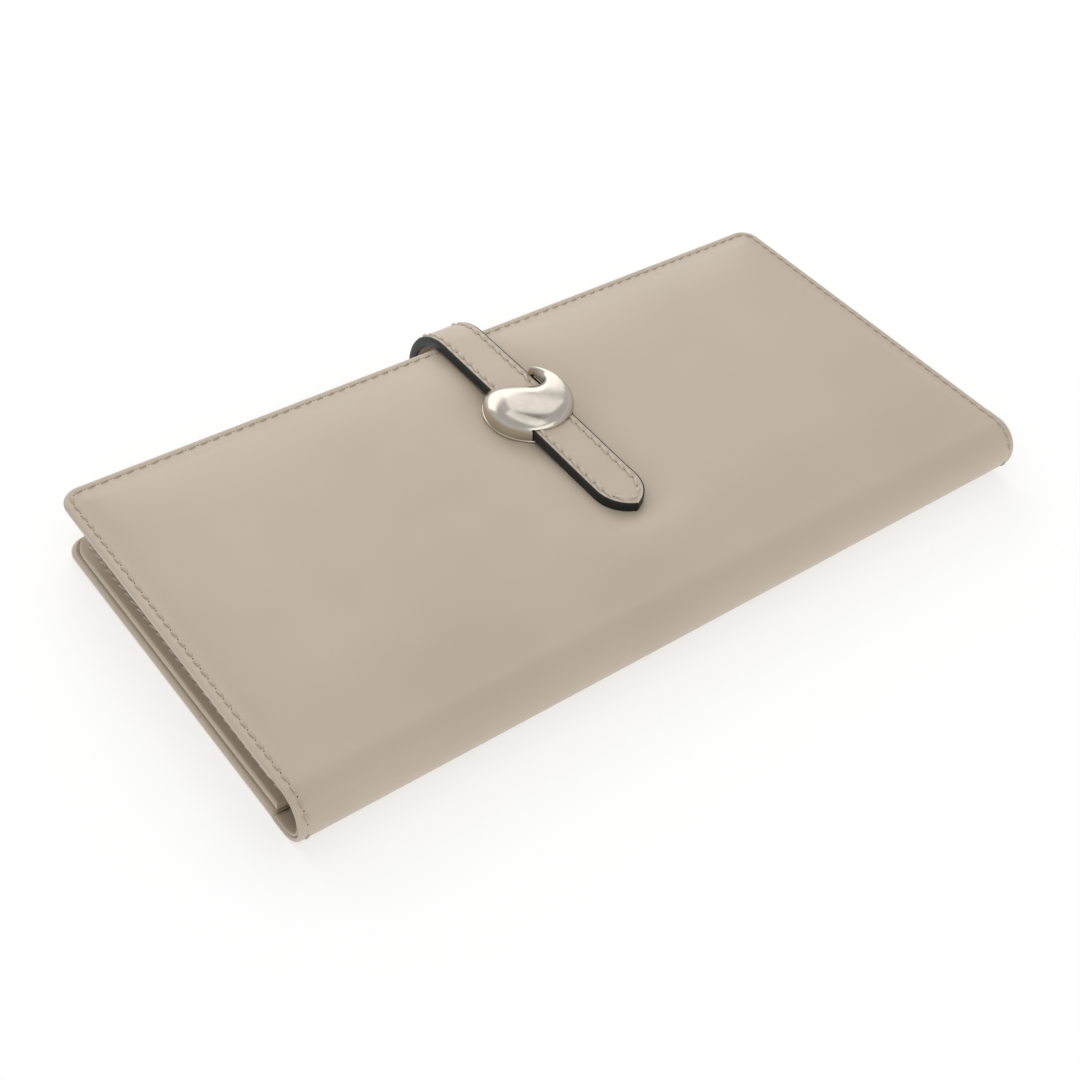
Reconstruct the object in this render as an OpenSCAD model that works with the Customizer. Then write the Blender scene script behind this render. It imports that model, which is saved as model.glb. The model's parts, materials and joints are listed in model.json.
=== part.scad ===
// Long bifold wallet, closed and lying on its back cover. A strap sewn to the back cover comes round the
// open edge, passes through a crescent metal keeper on the front cover and ends in a rounded point.
// X runs along the fold, +Y points from the fold to the open edge, +Z is up, and z = 0 is the underside.

/* [Wallet] */
// Length along the fold
wallet_l = 190; // [170:1:230]
// Depth from the outside of the fold to the open edge
wallet_d = 93.2; // [84:0.1:115]
// Height of the closed wallet at the fold
fold_h = 13.2; // [12.6:0.1:18]
// Height of the closed wallet at the open edge
open_h = 15.6; // [15:0.1:21]
// Radius of the free corners of both covers
corner_r = 4.5; // [2:0.1:8]

/* [Leather, board and lining] */
// Thickness of the outer leather
skin_t = 1.0; // [0.8:0.05:1.2]
// Thickness of the leather turned over at the edges
hem_t = 1.0; // [0.8:0.05:1.2]
// Width of the turned edge
hem_w = 7; // [5:0.1:10]
// Thickness of the linings
lining_t = 0.4; // [0.2:0.05:0.6]
// How far a lining or pocket stops short of the edge of its cover
inset = 0.8; // [0.4:0.1:2]
// Thickness of the foam sheet that pads the front cover
padding_t = 0.45; // [0.3:0.05:0.6]
// Gap left between layers that are glued or sewn together
layer_gap = 0.05; // [0.02:0.01:0.1]

/* [Pockets] */
// Number of card panels on the inside of the front cover
card_count = 4; // [2:1:5]
// Thickness of a card panel
card_t = 0.45; // [0.3:0.05:0.6]
// Step from the mouth of one card panel to the mouth of the next
card_step = 11; // [8:0.5:14]
// Distance from the fold centre to the mouth of the first card panel
card_mouth = 8; // [5:0.5:14]
// Thickness of the note pocket panel on the back cover
panel_t = 0.6; // [0.5:0.05:0.8]
// Width of the turned edge under the note pocket panel
panel_rim = 5; // [3:0.5:8]
// Thickness of the coin pocket cloth
bag_t = 0.2; // [0.15:0.05:0.3]
// Depth of the coin pocket below its zip
bag_d = 46; // [36:1:50]

/* [Zip] */
// Length of the zip between its end stops
zip_l = 150; // [120:1:155]
// Distance of the zip from the open edge
zip_from_edge = 24; // [20:0.5:34]
// Thickness of the zip tape
tape_t = 0.3; // [0.2:0.05:0.4]
// Width of one zip tape beside the teeth
tape_w = 6.5; // [5:0.5:9]
// Distance from one tooth of a row to the next
tooth_pitch = 2.4; // [2.2:0.1:3.2]
// Height of the zip teeth
tooth_h = 0.9; // [0.7:0.05:1.1]
// Length of the slider
slider_l = 9; // [8:0.5:11]
// Length of the puller from its pivot
puller_l = 21; // [15:0.5:24]
// Width of the puller
puller_w = 5; // [4:0.5:7]

/* [Strap] */
// Width of the strap
strap_w = 11.1; // [9:0.1:14]
// Thickness of the strap, both layers
strap_t = 2.4; // [1.8:0.1:2.8]
// Distance of the strap from the middle of the wallet
strap_x = 2.6; // [-10:0.1:10]
// How far the strap stands out behind the open edge
strap_reach = 9.3; // [8:0.1:14]
// Radius of the lower bend at the middle of the leather
lower_bend_r = 4.2; // [3.5:0.1:5]
// Height of the middle of the strap where it leaves the back cover
root_z = 1.5; // [1.4:0.05:2]
// Length of the strap in front of the middle of the keeper
strap_free_l = 37.3; // [30:0.5:50]
// Length of the rounded point
tip_l = 7.5; // [6.5:0.1:12]

/* [Keeper] */
// Radius of the keeper seen from above
keeper_r = 10; // [9:0.1:13]
// Distance from the middle of the keeper to the open edge
keeper_from_edge = 29.4; // [24:0.1:36]
// Height of the top of the keeper over the cover
keeper_h = 6.4; // [5.6:0.1:8]
// Thickness of the plate under the strap
plate_t = 0.8; // [0.6:0.05:1]
// Radius of the dome of the keeper
dome_r = 20; // [16:0.5:30]
// Radius of the bite that makes the crescent
bite_r = 3.2; // [2.8:0.1:3.6]
// Slope of the straight side of the bite
bite_turn = 34.5; // [30:0.5:40]
// Clearance round the strap in the keeper
strap_gap = 0.1; // [0.05:0.05:0.3]
// Radius of a keeper screw
screw_r = 0.8; // [0.6:0.05:1]

/* [Hidden] */
$fn = 96;
eps = 0.5;
snug = 0.02;

// The fold is part of a tube about the line y = fold_y, z = fold_r. The back cover leaves it at the
// bottom, and the front cover leaves it at the top as the tangent through its own open edge.
fold_r = fold_h / 2;
fold_y = -wallet_d / 2 + fold_r;
edge_y = wallet_d / 2;
edge_run = edge_y - fold_y;
edge_rise = open_h - fold_r;
edge_reach = norm([edge_run, edge_rise]);
slope = atan2(edge_rise, edge_run) - asin(fold_r / edge_reach);
front_y = fold_y + sqrt(edge_reach * edge_reach - fold_r * fold_r);

// Heights in the back half, from the underside up
cover_t = skin_t + hem_t;
board_y = fold_y + 5.5;
board_t = hem_t - 2 * layer_gap;
inner_w = wallet_l - 2 * (hem_w + layer_gap);
lining_y = fold_y + 2.6;
lining_z = cover_t + layer_gap;
stack_z = lining_z + lining_t + layer_gap;
bag_z = stack_z;
shoe_t = 0.35;
shoe_z = bag_z + bag_t + 2 * layer_gap;
tooth_z = shoe_z + shoe_t + 2 * layer_gap;
tape_z = tooth_z + tooth_h / 2 - tape_t / 2;
panel_z = tape_z + tape_t + layer_gap;
top_plate_z = tooth_z + tooth_h + 2 * layer_gap;
slider_t = 0.6;
slider_w = 6.4;

// The zip lies in a slot of the note pocket panel
zip_y = edge_y - zip_from_edge;
slot_w = slider_w + 2.6;
tooth_w = 1.0;
tooth_reach = 2.0;
tooth_bite = 0.55;
slider_x = zip_l / 2 - slider_l / 2 - 1;
post_x = slider_x + slider_l / 2 - 1.6;
teeth_end = post_x - 1.6;
tooth_count = floor((teeth_end + zip_l / 2) / tooth_pitch);
leg_r = 0.5;
leg_x = 2.4;
puller_t = 0.7;
puller_z = panel_z + panel_t + 0.5;
bail_z = puller_z + puller_t + 0.4;
bail_t = 0.6;

// Depths in the front half, from the outer face down
padding_z = skin_t + snug;
front_board_z = padding_z + padding_t + snug;
front_board_t = cover_t - front_board_z - snug;
first_card_z = cover_t + layer_gap + lining_t + layer_gap;

// Strap: a lower bend, an upper bend and a straight tongue along the front cover
half_strap = strap_t / 2;
glue = 0.02;
tongue_z = plate_t + strap_gap + half_strap;
bend_y = edge_y + strap_reach - half_strap;
lower_y = bend_y - lower_bend_r;
bend_z = root_z + lower_bend_r;
upper_bend_r = (fold_r + tongue_z + (bend_y - fold_y) * sin(slope) - (bend_z - fold_r) * cos(slope))
               / (1 + sin(slope));
upper_y = bend_y - upper_bend_r;
tongue_end = fold_y + (upper_y - fold_y) * cos(slope) + (bend_z - fold_r) * sin(slope);

// Keeper, placed on the front cover
keeper_y = edge_y - keeper_from_edge;
tunnel_w = strap_w + 4 * strap_gap;
tunnel_top = plate_t + strap_t + 3 * strap_gap;
screw_x = (tunnel_w / 2 + keeper_r) / 2 - 0.3;
screw_top = tunnel_top - 0.6;
head_r = screw_r + 0.7;
head_t = 0.25;

// Moves what is drawn on the plane z = 0, outer face up, on to the sloping front cover
module on_front() {
    translate([0, fold_y, fold_r]) rotate([slope, 0, 0]) translate([0, -fold_y, fold_r]) children();
}

// A sheet from y0 to y1 with rounded corners at y1
module sheet(z0, t, l, y0, y1, r) {
    translate([0, 0, z0]) linear_extrude(t) {
        translate([-l / 2, y0]) square([l, y1 - y0 - r]);
        translate([-l / 2 + r, y0]) square([l - 2 * r, y1 - y0]);
        for (side = [-1, 1]) translate([side * (l / 2 - r), y1 - r]) circle(r);
    }
}

// Extrudes a profile drawn in the Y and Z directions to both sides of x
module across(x, w) {
    translate([x - w / 2, 0, 0]) rotate([90, 0, 90]) linear_extrude(w) children();
}

// The part of a ring between two angles less than 180 degrees apart, drawn about the origin
module ring_part(r_in, r_out, a0, a1) {
    far = 2 * r_out / cos((a1 - a0) / 2);
    mid = (a0 + a1) / 2;
    intersection() {
        difference() {
            circle(r_out);
            circle(r_in);
        }
        polygon([[0, 0], far * [cos(a0), sin(a0)], far * [cos(mid), sin(mid)], far * [cos(a1), sin(a1)]]);
    }
}

// Outer leather of a cover lying outer face down, with its edges turned over on three sides
module cover_skin(y_end) {
    difference() {
        sheet(0, cover_t, wallet_l, fold_y, y_end, corner_r);
        translate([-wallet_l / 2 + hem_w, fold_y - eps, skin_t])
            cube([wallet_l - 2 * hem_w, y_end - hem_w - fold_y + eps, hem_t + eps]);
        translate([-wallet_l / 2 - eps, fold_y - eps, skin_t])
            cube([wallet_l + 2 * eps, lining_y - fold_y + eps + 1, hem_t + eps]);
    }
}

module back_skin() {
    color("tan") difference() {
        cover_skin(edge_y);
        translate([strap_x - strap_w / 2 - layer_gap, edge_y - hem_w - eps, skin_t])
            cube([strap_w + 2 * layer_gap, hem_w + 2 * eps, hem_t + eps]);
    }
}

module back_board() {
    color("gainsboro") translate([-inner_w / 2, board_y, skin_t + layer_gap])
        cube([inner_w, edge_y - hem_w - layer_gap - board_y, board_t]);
}

module back_lining() {
    color("burlywood") sheet(lining_z, lining_t, wallet_l - 2 * inset, lining_y, edge_y - inset, corner_r);
}

module slot_outline() {
    for (side = [-1, 1]) translate([side * (zip_l / 2 + 2), zip_y]) circle(slot_w / 2);
    translate([-zip_l / 2 - 2, zip_y - slot_w / 2]) square([zip_l + 4, slot_w]);
}

module note_panel() {
    color("tan") difference() {
        sheet(stack_z, panel_z + panel_t - stack_z, wallet_l - 2 * inset, lining_y, edge_y - 2 * inset,
              corner_r);
        translate([-wallet_l / 2 + inset + panel_rim, lining_y - eps, stack_z - eps])
            cube([wallet_l - 2 * (inset + panel_rim), edge_y - 2 * inset - panel_rim - lining_y + eps,
                  panel_z - stack_z + eps]);
        translate([0, 0, panel_z - eps]) linear_extrude(panel_t + 2 * eps) slot_outline();
    }
}

module coin_bag() {
    bag_l = wallet_l - 2 * (inset + panel_rim + 1);
    color("wheat") translate([-bag_l / 2, zip_y + tape_w - bag_d, bag_z]) cube([bag_l, bag_d, bag_t]);
}

module zip_tape(side) {
    tape_l = zip_l + 16;
    color("rosybrown") translate([-tape_l / 2, zip_y + side * (tooth_reach + layer_gap + tape_w / 2)
                                  - tape_w / 2, tape_z]) cube([tape_l, tape_w, tape_t]);
}

module zip_tape_front() zip_tape(-1);
module zip_tape_rear() zip_tape(1);

// One row of teeth; the rear row is half a pitch behind, so the rows mesh
module zip_teeth(side) {
    depth = tooth_reach + tooth_bite;
    start = -zip_l / 2 + (side > 0 ? tooth_pitch / 2 : 0);
    color("gold") for (i = [0 : tooth_count - 1])
        translate([start + i * tooth_pitch, zip_y + (side > 0 ? -tooth_bite : -tooth_reach), tooth_z])
            cube([tooth_w, depth, tooth_h]);
}

module zip_teeth_front() zip_teeth(-1);
module zip_teeth_rear() zip_teeth(1);

module zip_stops() {
    stop_l = 1.6;
    color("gold") {
        translate([-zip_l / 2 - stop_l - 0.4, zip_y - tooth_reach, tooth_z])
            cube([stop_l, 2 * tooth_reach, tooth_h]);
        for (side = [-1, 1])
            translate([zip_l / 2 + 0.4, zip_y + side * tooth_reach * 0.65 - tooth_reach * 0.35, tooth_z])
                cube([stop_l, tooth_reach * 0.7, tooth_h]);
    }
}

module zip_slider() {
    wall = 0.7;
    inner = slider_w / 2 - wall;
    flange_low = tape_z - 2 * layer_gap;
    flange_high = tape_z + tape_t + 2 * layer_gap;
    color("gold") translate([slider_x - slider_l / 2, zip_y, 0]) {
        translate([0, -slider_w / 2, top_plate_z]) cube([slider_l, slider_w, slider_t]);
        translate([0, -slider_w / 2, shoe_z]) cube([slider_l, slider_w, shoe_t]);
        for (side = [-1, 1]) translate([0, side * (inner + wall / 2) - wall / 2, 0]) {
            translate([0, 0, shoe_z]) cube([slider_l, wall, flange_low - shoe_z]);
            translate([0, 0, flange_high]) cube([slider_l, wall, top_plate_z + slider_t - flange_high]);
        }
        translate([post_x - slider_x + slider_l / 2, 0, shoe_z])
            cylinder(r = 0.7, h = top_plate_z + slider_t - shoe_z);
    }
}

module zip_bail() {
    z0 = top_plate_z + slider_t;
    color("gold") translate([slider_x, zip_y, 0]) {
        for (side = [-1, 1]) translate([side * leg_x, 0, z0]) cylinder(r = leg_r, h = bail_z + bail_t - z0);
        translate([-leg_x, -leg_r, bail_z]) cube([2 * leg_x, 2 * leg_r, bail_t]);
        for (side = [-1, 1]) translate([side * leg_x, 0, bail_z]) cylinder(r = leg_r, h = bail_t);
    }
}

module zip_puller() {
    neck_r = 2;
    bar_w = 3.2;
    color("gold") translate([slider_x - leg_x, zip_y, puller_z]) difference() {
        linear_extrude(puller_t) {
            circle(neck_r);
            translate([-puller_l + puller_w / 2, 0]) circle(puller_w / 2);
            translate([-puller_l + puller_w / 2, -bar_w / 2]) square([puller_l - puller_w / 2 - leg_r * 3, bar_w]);
        }
        translate([0, 0, -eps]) cylinder(r = leg_r + 0.1, h = puller_t + 2 * eps);
    }
}

// Half a tube from the back cover round to the front cover
module fold_band(r_out, t, tail) {
    across(0, wallet_l) translate([fold_y, fold_r]) {
        ring_part(r_out - t, r_out, 90 + slope, 180);
        ring_part(r_out - t, r_out, 180, 270);
        if (tail > 0) {
            translate([0, -r_out]) square([tail, t]);
            rotate(slope) translate([-snug, r_out - t]) square([tail + snug, t]);
        }
    }
}

module spine_skin() color("peru") fold_band(fold_r, skin_t, 0);
module spine_lining() color("wheat") fold_band(fold_r - skin_t - layer_gap, lining_t + 0.3, 3);

module front_skin() {
    color("tan") on_front() difference() {
        mirror([0, 0, 1]) cover_skin(front_y);
        screw_holes(screw_r + 0.1);
    }
}

module screw_holes(r) {
    for (side = [-1, 1]) translate([strap_x + side * screw_x, keeper_y, -cover_t - eps])
        cylinder(r = r, h = cover_t + screw_top + eps);
}

module front_padding() {
    color("white") on_front() difference() {
        translate([-inner_w / 2, board_y, -padding_z - padding_t])
            cube([inner_w, front_y - hem_w - layer_gap - board_y, padding_t]);
        screw_holes(screw_r + 0.1);
    }
}

module backing_outline(grow) {
    l = 2 * screw_x + 4 * head_r + 2 * grow;
    w = 4 * head_r + 2 * grow;
    translate([strap_x - l / 2, keeper_y - w / 2]) square([l, w]);
}

module front_board() {
    color("gainsboro") on_front() difference() {
        translate([-inner_w / 2, board_y, -front_board_z - front_board_t])
            cube([inner_w, front_y - hem_w - layer_gap - board_y, front_board_t]);
        translate([0, 0, -cover_t - eps]) linear_extrude(cover_t) backing_outline(layer_gap);
    }
}

module keeper_backing() {
    color("slategray") on_front() difference() {
        translate([0, 0, -front_board_z - front_board_t]) linear_extrude(front_board_t) backing_outline(0);
        screw_holes(screw_r + snug);
        for (side = [-1, 1]) translate([strap_x + side * screw_x, keeper_y, -cover_t - eps])
            cylinder(r = head_r + snug, h = eps + cover_t - front_board_z - front_board_t + head_t + snug);
    }
}

module front_lining() {
    color("burlywood") on_front()
        sheet(-cover_t - layer_gap - lining_t, lining_t, wallet_l - 2 * inset, lining_y, front_y - inset,
              corner_r);
}

// Card panels lie on each other, and each mouth is a step further from the fold
module card_panel(i) {
    z = -first_card_z - card_t - i * (card_t + layer_gap);
    color("tan") on_front()
        sheet(z, card_t, wallet_l - 2 * inset * (i + 1), fold_y + card_mouth + i * card_step,
              front_y - inset * (i + 1), corner_r);
}

module card_panel_1() card_panel(0);
module card_panel_2() card_panel(1);
module card_panel_3() card_panel(2);
module card_panel_4() card_panel(3);

// A disc with a bite out of the side that faces the open edge: one blunt and one hooked horn
module crescent(r) {
    difference() {
        circle(r);
        translate([0.36 * r, 0.47 * r]) {
            circle(bite_r);
            rotate(-bite_turn) translate([-2 * r, -bite_r]) square([2 * r, 3 * r]);
        }
    }
}

module keeper_plate() {
    color("silver") on_front() difference() {
        translate([strap_x, keeper_y, 0]) linear_extrude(plate_t) crescent(keeper_r);
        screw_holes(screw_r + 0.1);
    }
}

module keeper_shell() {
    color("silver") on_front() difference() {
        translate([strap_x, keeper_y, 0]) intersection() {
            translate([0, 0, plate_t]) linear_extrude(keeper_h) crescent(keeper_r);
            translate([0, 0, keeper_h - dome_r]) sphere(dome_r, $fn = 128);
        }
        translate([strap_x - tunnel_w / 2, keeper_y - keeper_r - eps, 0])
            cube([tunnel_w, 2 * keeper_r + 2 * eps, tunnel_top]);
        screw_holes(screw_r + snug);
    }
}

module keeper_screws() {
    color("slategray") on_front() for (side = [-1, 1])
        translate([strap_x + side * screw_x, keeper_y, -front_board_z - front_board_t]) {
            cylinder(r = screw_r, h = front_board_z + front_board_t + screw_top - layer_gap);
            cylinder(r = head_r, h = head_t);
        }
}

// The strap's end, pared thin where it is sewn in behind the turned edge of the back cover
module strap_root() {
    tab_t = hem_t - 2 * layer_gap;
    color("tan") {
        translate([strap_x - strap_w / 2, edge_y - hem_w + layer_gap, skin_t + layer_gap])
            cube([strap_w, hem_w + layer_gap, tab_t]);
        translate([strap_x - strap_w / 2, edge_y + layer_gap, root_z - half_strap])
            cube([strap_w, lower_y - edge_y - layer_gap, strap_t]);
    }
}

module strap_arch(inner, outer) {
    color(inner < 0 ? "dimgray" : "tan") across(strap_x, strap_w) {
        translate([lower_y, bend_z]) ring_part(lower_bend_r + inner, lower_bend_r + outer, -90, 0);
        translate([upper_y, bend_z]) ring_part(upper_bend_r + inner, upper_bend_r + outer, 0, 90 + slope);
    }
}

module strap_arch_face() strap_arch(glue / 2, half_strap);
module strap_arch_backing() strap_arch(-half_strap, -glue / 2);

// Straight end of the strap with a rounded point
module tongue_outline(w, y_tip, y_end) {
    arc_r = (tip_l * tip_l + w * w / 4) / w;
    translate([-w / 2, y_tip + tip_l]) square([w, y_end - y_tip - tip_l]);
    translate([0, y_tip + tip_l]) intersection() {
        translate([arc_r - w / 2, 0]) circle(arc_r);
        translate([w / 2 - arc_r, 0]) circle(arc_r);
        translate([-w / 2, -tip_l]) square([w, tip_l]);
    }
}

module strap_tongue(z0, t) {
    on_front() translate([strap_x, 0, z0]) linear_extrude(t)
        tongue_outline(strap_w, keeper_y - strap_free_l, tongue_end);
}

module strap_tongue_face() color("tan") strap_tongue(tongue_z + glue / 2, half_strap - glue / 2);
module strap_tongue_backing() color("dimgray") strap_tongue(tongue_z - half_strap, half_strap - glue / 2);

back_skin();
back_board();
back_lining();
note_panel();
coin_bag();
zip_tape_front();
zip_tape_rear();
zip_teeth_front();
zip_teeth_rear();
zip_stops();
zip_slider();
zip_bail();
zip_puller();
spine_skin();
spine_lining();
front_skin();
front_padding();
front_board();
front_lining();
card_panel_1();
card_panel_2();
card_panel_3();
card_panel_4();
keeper_plate();
keeper_shell();
keeper_screws();
keeper_backing();
strap_root();
strap_arch_face();
strap_arch_backing();
strap_tongue_face();
strap_tongue_backing();
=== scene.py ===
"""Looks for the long wallet: hide, strap, keeper, pockets and zip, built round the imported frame.

Lengths are in millimetres until build() turns them into metres. Three maps carry flat drawings on to the
wallet: front_at and back_at wrap a sheet (x, s) round the fold, and strap_at runs along the strap.
"""
import json
import math
import random

import bmesh
import bpy
import numpy as np
from mathutils import Matrix, Vector


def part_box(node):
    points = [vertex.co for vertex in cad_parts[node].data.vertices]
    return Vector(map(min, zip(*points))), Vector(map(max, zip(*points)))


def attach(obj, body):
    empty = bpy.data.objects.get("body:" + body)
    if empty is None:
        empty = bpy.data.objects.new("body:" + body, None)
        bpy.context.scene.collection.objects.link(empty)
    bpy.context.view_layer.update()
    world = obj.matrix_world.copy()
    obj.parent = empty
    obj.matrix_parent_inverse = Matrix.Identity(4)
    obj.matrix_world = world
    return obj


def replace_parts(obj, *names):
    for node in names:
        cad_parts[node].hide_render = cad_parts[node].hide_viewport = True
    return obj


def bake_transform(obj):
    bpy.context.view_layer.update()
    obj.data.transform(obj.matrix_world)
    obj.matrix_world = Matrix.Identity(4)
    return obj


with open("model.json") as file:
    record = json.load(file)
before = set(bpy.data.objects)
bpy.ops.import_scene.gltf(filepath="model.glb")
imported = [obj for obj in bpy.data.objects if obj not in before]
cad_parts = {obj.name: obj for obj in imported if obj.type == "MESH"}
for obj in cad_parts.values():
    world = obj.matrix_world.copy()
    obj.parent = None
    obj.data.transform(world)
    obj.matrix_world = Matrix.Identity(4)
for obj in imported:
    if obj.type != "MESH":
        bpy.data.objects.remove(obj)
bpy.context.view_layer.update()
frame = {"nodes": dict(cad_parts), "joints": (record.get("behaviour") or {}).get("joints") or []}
MM = 0.001
HALF = math.sqrt(0.5)
WELD_M = 1e-7  # points closer than this are one


# ---- sizes read from the frame
def joint_place(name):
    """Y and Z of a joint of the frame, in millimetres."""
    joint = next(j for j in frame["joints"] if j["name"] == name)
    return joint["pos_m"][1] / MM, joint["pos_m"][2] / MM


def box(node):
    low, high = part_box(node)
    return np.array(low) / MM, np.array(high) / MM


def node_points(node):
    """The vertices of a CAD node, in millimetres."""
    vertices = frame["nodes"][node].data.vertices
    points = np.empty(len(vertices) * 3)
    vertices.foreach_get("co", points)
    return points.reshape(-1, 3) / MM


lower_y, lower_z = joint_place("fold_lower")
upper_y, upper_z = joint_place("fold_upper")
FOLD_R = lower_z / (1 - HALF)
FOLD_Y = lower_y + FOLD_R * HALF
SLOPE = 2 * (math.atan2(upper_z - FOLD_R, upper_y - FOLD_Y) - math.radians(135))
ALONG = np.array([math.cos(SLOPE), math.sin(SLOPE)])  # up the front cover, in Y and Z
OUT = np.array([-math.sin(SLOPE), math.cos(SLOPE)])  # out of the front cover
HALF_L = box("back_skin")[1][0]
EDGE_Y = box("back_skin")[1][1]
COVER_T = box("back_skin")[1][2]
SKIN_T = 1.0
FRONT_ARC = FOLD_R * (math.pi / 2 - SLOPE)
BACK_ARC = FOLD_R * math.pi / 2
FRONT_END = FRONT_ARC + math.sqrt((EDGE_Y - FOLD_Y) ** 2 + (box("front_skin")[1][2] - FOLD_R) ** 2
                                  - FOLD_R ** 2)
BACK_END = BACK_ARC + EDGE_Y - FOLD_Y
CORNER_R = 4.5
FOLD_CENTRE = np.array([FOLD_Y, FOLD_R])
FOLD_SIDE = (0, (FOLD_Y - FOLD_R) * MM, FOLD_R * MM)
FRONT_START = (0, *((FOLD_CENTRE + FOLD_R * OUT) * MM))
BACK_START = (0, FOLD_Y * MM, 0)


# ---- maps from flat drawings to the wallet
def spread(*values):
    """The values as arrays of one shape."""
    return np.broadcast_arrays(*(np.asarray(v, float) for v in values))


def joined(x, yz):
    """Points from their X and their (Y, Z)."""
    return np.stack([np.broadcast_to(x, yz.shape[:-1]), yz[..., 0], yz[..., 1]], axis=-1)


def ray(angle):
    return np.stack([np.cos(angle), np.sin(angle)], axis=-1)


def front_at(x, s, h):
    """s runs from the middle of the fold over the top to the open edge; h is height out of the hide."""
    x, s, h = spread(x, s, h)
    round_part = FOLD_CENTRE + (FOLD_R + h)[..., None] * ray(math.pi - s / FOLD_R)
    flat_part = (FOLD_CENTRE + (FOLD_R + h)[..., None] * OUT + (s - FRONT_ARC)[..., None] * ALONG)
    return joined(x, np.where((s < FRONT_ARC)[..., None], round_part, flat_part))


def back_at(x, s, h):
    """The same for the back cover: s runs from the middle of the fold under the wallet."""
    x, s, h = spread(x, s, h)
    round_part = FOLD_CENTRE + (FOLD_R + h)[..., None] * ray(math.pi + s / FOLD_R)
    flat_part = np.stack([FOLD_Y + s - BACK_ARC, -h], axis=-1)
    return joined(x, np.where((s < BACK_ARC)[..., None], round_part, flat_part))


def on_front(x, y, z):
    """y along the front cover and z out of it, with the same zero as the CAD model's front half."""
    x, y, z = spread(x, y, z)
    return joined(x, FOLD_CENTRE + (FOLD_R + z)[..., None] * OUT + (y - FOLD_Y)[..., None] * ALONG)


def on_back(x, y, z):
    x, y, z = spread(x, y, z)
    return np.stack([x, y, z], axis=-1)


def extent(node, front):
    """Lowest and highest corner of a CAD node along its own cover."""
    points = node_points(node)
    if front:
        flat = points[:, 1:] - FOLD_CENTRE
        points = np.stack([points[:, 0], FOLD_Y + flat @ ALONG, flat @ OUT - FOLD_R], axis=-1)
    return points.min(axis=0), points.max(axis=0)


# ---- mesh helpers
def build(name, points, faces, materials, indices=None):
    """A mesh object from points in millimetres."""
    mesh = bpy.data.meshes.new(name)
    mesh.from_pydata([tuple(p) for p in np.asarray(points) * MM], [], faces)
    mesh.validate()
    for material in materials:
        mesh.materials.append(material)
    if indices is not None:
        mesh.polygons.foreach_set("material_index", indices)
    mesh.update()
    obj = bpy.data.objects.new(name, mesh)
    bpy.context.scene.collection.objects.link(obj)
    outward(obj)
    mesh.shade_smooth()
    return obj


def outward(obj):
    """Makes every face look out of the piece."""
    work = bmesh.new()
    work.from_mesh(obj.data)
    bmesh.ops.remove_doubles(work, verts=work.verts, dist=WELD_M)
    bmesh.ops.recalc_face_normals(work, faces=work.faces)
    work.to_mesh(obj.data)
    work.free()


def apply_modifiers(obj):
    graph = bpy.context.evaluated_depsgraph_get()
    final = bpy.data.meshes.new_from_object(obj.evaluated_get(graph))
    obj.modifiers.clear()
    obj.data = final


def add_bevel(obj, width_mm, angle_deg):
    """Adds a modifier that rounds the edges sharper than an angle."""
    bevel = obj.modifiers.new("soft_edges", "BEVEL")
    bevel.width = width_mm * MM
    bevel.segments = 3
    bevel.limit_method = "ANGLE"
    bevel.angle_limit = math.radians(angle_deg)
    return bevel


def shade(piece, sharp_deg):
    """Smooth shading that leaves the edges beyond an angle sharp."""
    piece.data.shade_smooth()
    piece.data.set_sharp_from_angle(angle=math.radians(sharp_deg))


def soften(piece, width_mm):
    """Rounds the sharp edges of a piece."""
    add_bevel(piece, width_mm, 38)
    apply_modifiers(piece)
    shade(piece, 50)


SHEET_STEP = 5  # width of a sheet's faces away from its edges
EDGE_STEPS = [0, 0.03, 0.1, 0.22, 0.4, 0.62, 0.9, 1.15, 1.4, 1.6, 1.8, 2.0, 2.2, 2.45, 2.8, 3.4, 4.2, 5.4, 7]


def spaced(length, step, start_fine=True, end_fine=True):
    """Places from 0 to length: close together at a fine end, then about a step apart."""
    start = [e for e in EDGE_STEPS if e < length / 2] if start_fine else [0]
    end = [length - e for e in EDGE_STEPS if e < length / 2] if end_fine else [length]
    low, high = start[-1], end[-1]
    count = max(1, round((high - low) / step))
    middle = [low + (high - low) * i / count for i in range(1, count)]
    return np.array(start + middle + end[::-1])


def edge_distance(x, v, half_x, v_low, v_high, corner, low_free):
    """Distance from a point of a sheet to its outline, which is rounded at v_high."""
    cx, cv = half_x - corner, v_high - corner
    d = np.minimum(half_x - np.abs(x), v_high - v)
    in_corner = (np.abs(x) > cx) & (v > cv)
    d = np.where(in_corner, corner - np.hypot(np.abs(x) - cx, v - cv), d)
    if low_free:
        d = np.minimum(d, v - v_low)
    return np.maximum(d, 0)


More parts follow.
